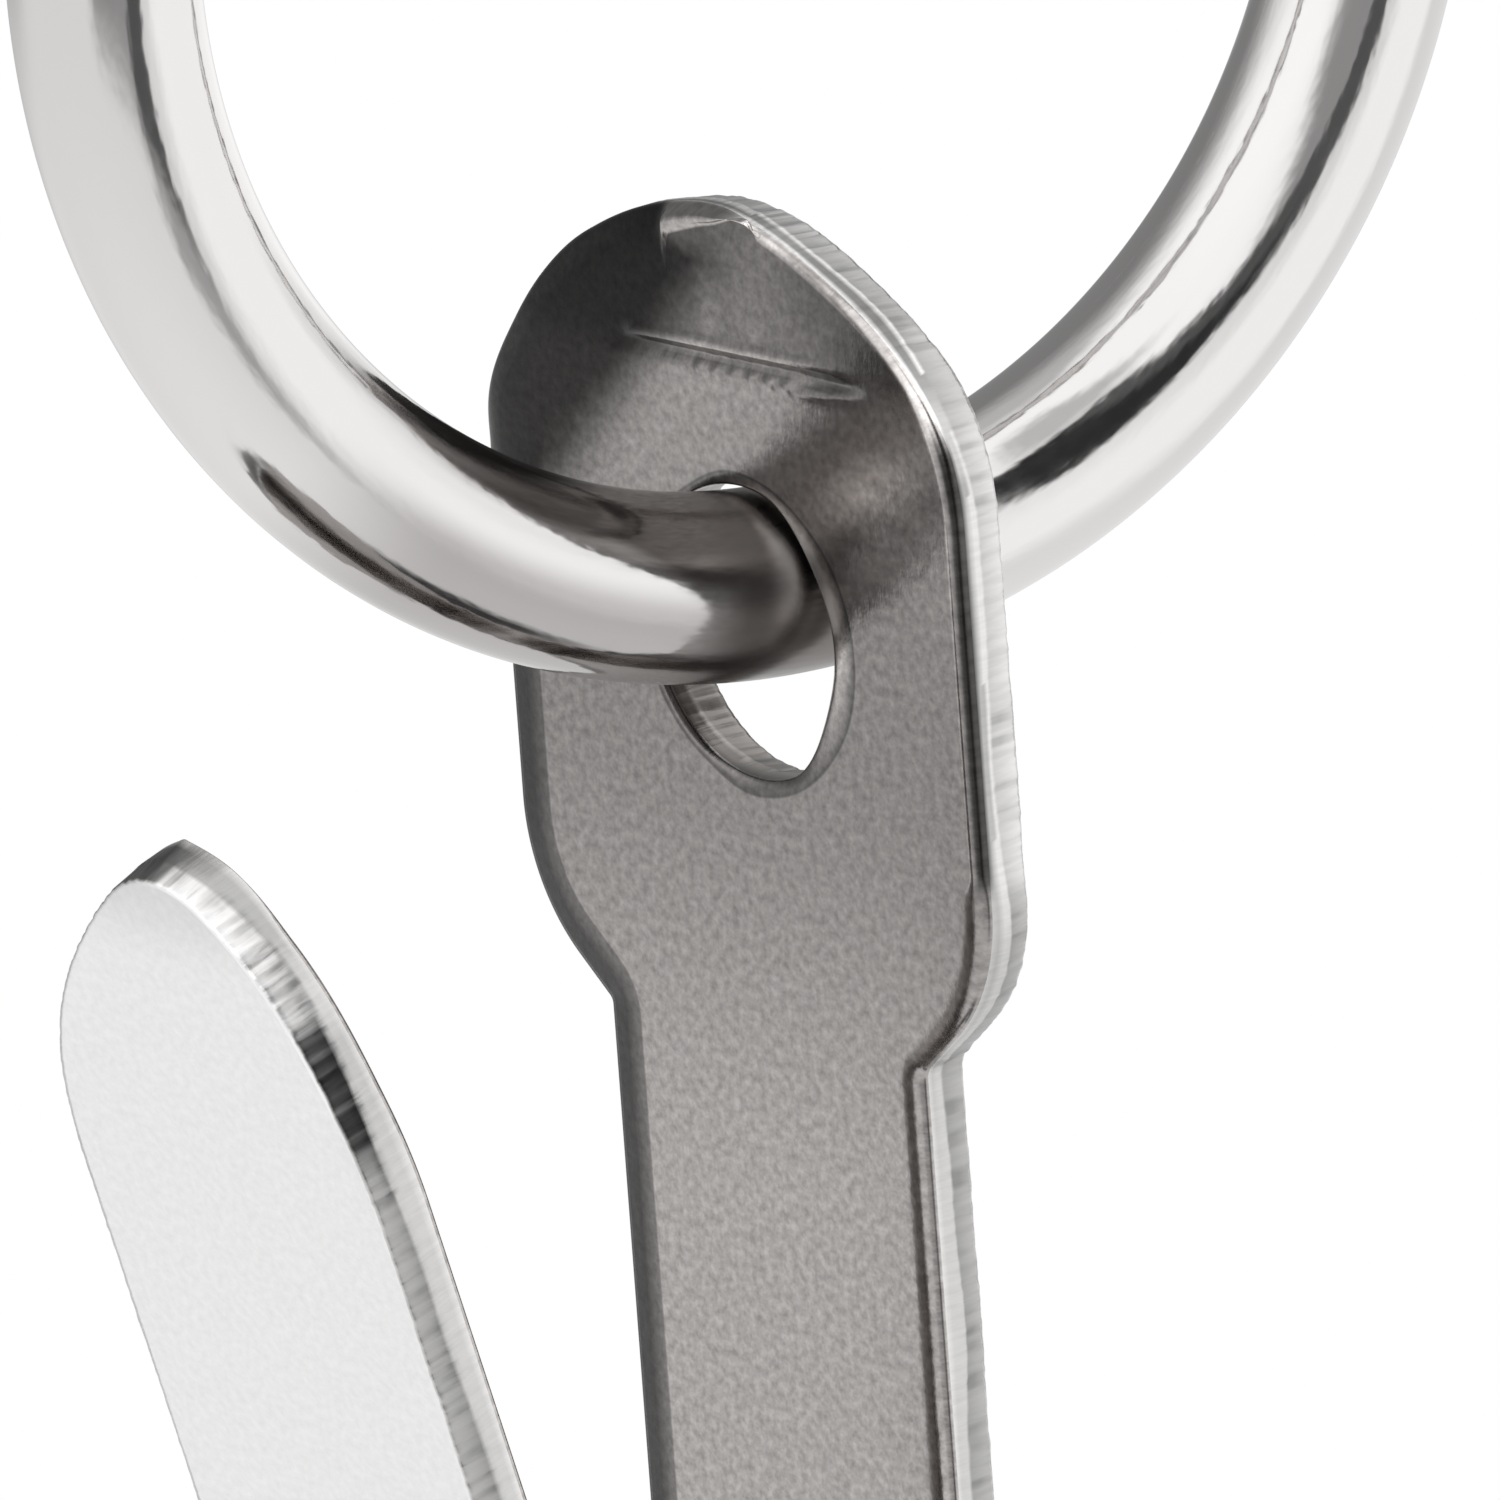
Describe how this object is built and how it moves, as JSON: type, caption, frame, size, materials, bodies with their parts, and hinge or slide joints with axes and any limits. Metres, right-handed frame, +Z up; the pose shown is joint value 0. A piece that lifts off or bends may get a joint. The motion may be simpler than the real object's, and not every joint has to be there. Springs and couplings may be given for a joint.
{
  "type": "curtain hook",
  "caption": "Closed wire ring carrying a stamped strip-metal hook with a wide punched head and a splayed bullet-tipped leg.",
  "frame": {"origin": "centre of the ring, on the line a curtain rod takes through it", "axes": "+X along the curtain rod, through the ring; +Z up; the hook hangs below the ring and its mouth opens towards -Y, the front"},
  "size_m": [0.0112, 0.0264, 0.0488],
  "materials": {
    "plated_wire": "bright nickel plating on drawn round wire",
    "plated_strip": "satin plating on stamped strip with sheared edges"
  },
  "bodies": {
    "ring": {"ring": "plated_wire"},
    "hook": {"hook": "plated_strip"}
  },
  "joints": [
    {"name": "hook_swing", "type": "hinge", "parent": "ring", "child": "hook", "pos_m": [0, 0, -0.0117], "axis": [0, 1, 0], "range_deg": [-90, 90]}
  ]
}
